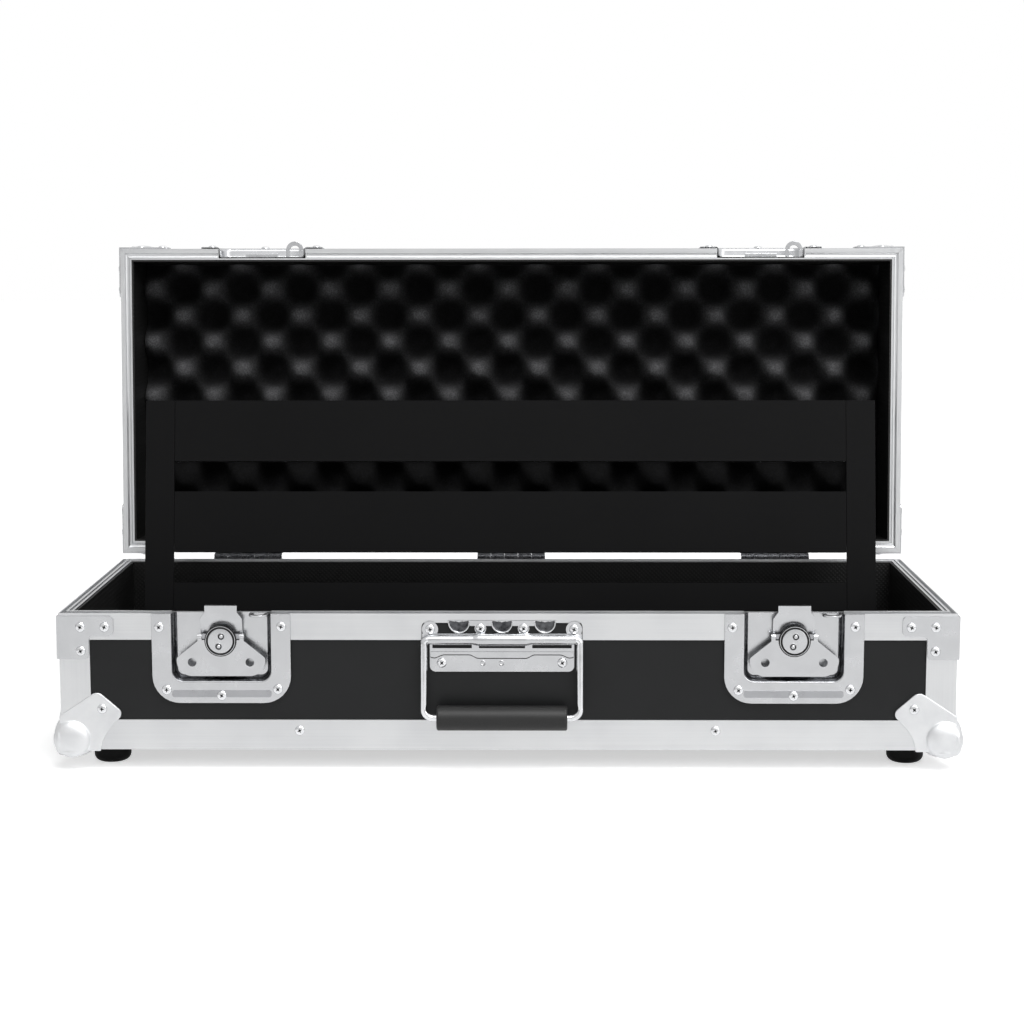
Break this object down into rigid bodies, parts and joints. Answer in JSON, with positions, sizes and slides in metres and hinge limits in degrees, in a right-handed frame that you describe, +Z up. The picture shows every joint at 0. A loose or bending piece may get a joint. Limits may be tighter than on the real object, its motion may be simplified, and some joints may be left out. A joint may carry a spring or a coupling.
{
  "type": "guitar pedal case",
  "caption": "Hard case with aluminium edging, hinged foam-lined lid, recessed twist latches, spring handle and a three-rail pedal board.",
  "frame": {"origin": "middle of the four rubber feet, on the surface they stand on", "axes": "+X along the case to the viewer's right, +Y from the front face with the latches to the hinges, +Z up"},
  "size_m": [0.6963, 0.3928, 0.4002],
  "materials": {
    "black_laminate": "satin, finely textured laminate on plywood",
    "aluminium_edging": "drawn, satin",
    "plated_steel": "bright zinc plate, semi-gloss",
    "bright_steel": "polished",
    "spring_steel": "oiled",
    "black_rubber": "matt",
    "black_lining": "woven, matt",
    "black_foam": "open-cell foam, matt",
    "board_black": "satin black powder coat",
    "black_screw": "black oxide"
  },
  "bodies": {
    "base": {"base_floor_panel": "black_laminate", "base_front_panel": "black_laminate", "base_back_panel": "black_laminate", "base_left_panel": "black_laminate", "base_right_panel": "black_laminate", "base_bottom_angles": "aluminium_edging", "base_corner_angles": "aluminium_edging", "base_rim": "aluminium_edging", "base_corner_braces": "plated_steel", "base_ball_corners": "plated_steel", "base_screws": "bright_steel", "base_wall_lining": "black_lining", "rubber_feet": "black_rubber", "foot_screws": "bright_steel", "floor_foam": "black_foam", "handle_plate": "plated_steel", "handle_barrel": "plated_steel", "handle_spring": "spring_steel", "hinge_base_leaves": "plated_steel", "hinge_pins": "bright_steel", "left_latch_dish": "plated_steel", "right_latch_dish": "plated_steel"},
    "lid": {"lid_top_panel": "black_laminate", "lid_front_panel": "black_laminate", "lid_back_panel": "black_laminate", "lid_left_panel": "black_laminate", "lid_right_panel": "black_laminate", "lid_top_angles": "aluminium_edging", "lid_corner_angles": "aluminium_edging", "lid_rim": "aluminium_edging", "lid_corner_braces": "plated_steel", "lid_ball_corners": "plated_steel", "lid_screws": "bright_steel", "lid_wall_lining": "black_lining", "lid_foam": "black_foam", "hinge_lid_leaves": "plated_steel", "left_lid_dish": "plated_steel", "right_lid_dish": "plated_steel"},
    "pedal_board": {"board_rail_1": "board_black", "board_rail_2": "board_black", "board_rail_3": "board_black", "board_left_end": "board_black", "board_right_end": "board_black", "board_pads": "black_rubber", "board_screws": "black_screw"},
    "handle": {"handle_bail": "bright_steel", "handle_grip": "black_rubber"},
    "left_latch_tongue": {"left_latch_tongue": "plated_steel"},
    "left_latch_hub": {"left_latch_hub": "plated_steel"},
    "left_latch_wing": {"left_latch_wing": "plated_steel"},
    "right_latch_tongue": {"right_latch_tongue": "plated_steel"},
    "right_latch_hub": {"right_latch_hub": "plated_steel"},
    "right_latch_wing": {"right_latch_wing": "plated_steel"}
  },
  "joints": [
    {"name": "lid_hinge", "type": "hinge", "parent": "base", "child": "lid", "pos_m": [0, 0.138, 0.1235], "axis": [1, 0, 0], "range_deg": [0, 94]},
    {"name": "board_fold", "type": "hinge", "parent": "base", "child": "pedal_board", "pos_m": [0, 0.05496, 0.10105], "axis": [1, 0, 0], "range_deg": [0, 100]},
    {"name": "handle_fold", "type": "hinge", "parent": "base", "child": "handle", "pos_m": [-0.004, -0.1378, 0.1036], "axis": [-1, 0, 0], "range_deg": [0, 90], "stiffness_Nm_per_rad": 0.12, "springref_deg": -20.05},
    {"name": "left_latch_turn", "type": "hinge", "parent": "base", "child": "left_latch_hub", "pos_m": [-0.218, -0.133, 0.1025], "axis": [0, 1, 0], "range_deg": [0, 150]},
    {"name": "left_latch_pull", "type": "slide", "parent": "base", "child": "left_latch_tongue", "axis": [0, 0.9487, -0.3162], "range_m": [0, 0.00264]},
    {"name": "left_latch_fold", "type": "hinge", "parent": "left_latch_hub", "child": "left_latch_wing", "pos_m": [-0.218, -0.13555, 0.1058], "axis": [-1, 0, 0], "range_deg": [0, 90]},
    {"name": "right_latch_turn", "type": "hinge", "parent": "base", "child": "right_latch_hub", "pos_m": [0.218, -0.133, 0.1025], "axis": [0, 1, 0], "range_deg": [0, 150]},
    {"name": "right_latch_pull", "type": "slide", "parent": "base", "child": "right_latch_tongue", "axis": [0, 0.9487, -0.3162], "range_m": [0, 0.00264]},
    {"name": "right_latch_fold", "type": "hinge", "parent": "right_latch_hub", "child": "right_latch_wing", "pos_m": [0.218, -0.13555, 0.1058], "axis": [-1, 0, 0], "range_deg": [0, 90]}
  ],
  "couplings": [
    {"joint": "board_fold", "follows": "lid_hinge", "ratio": 1.0637},
    {"joint": "left_latch_turn", "follows": "left_latch_pull", "rad_per_m": 993.5},
    {"joint": "right_latch_turn", "follows": "right_latch_pull", "rad_per_m": 993.5}
  ]
}
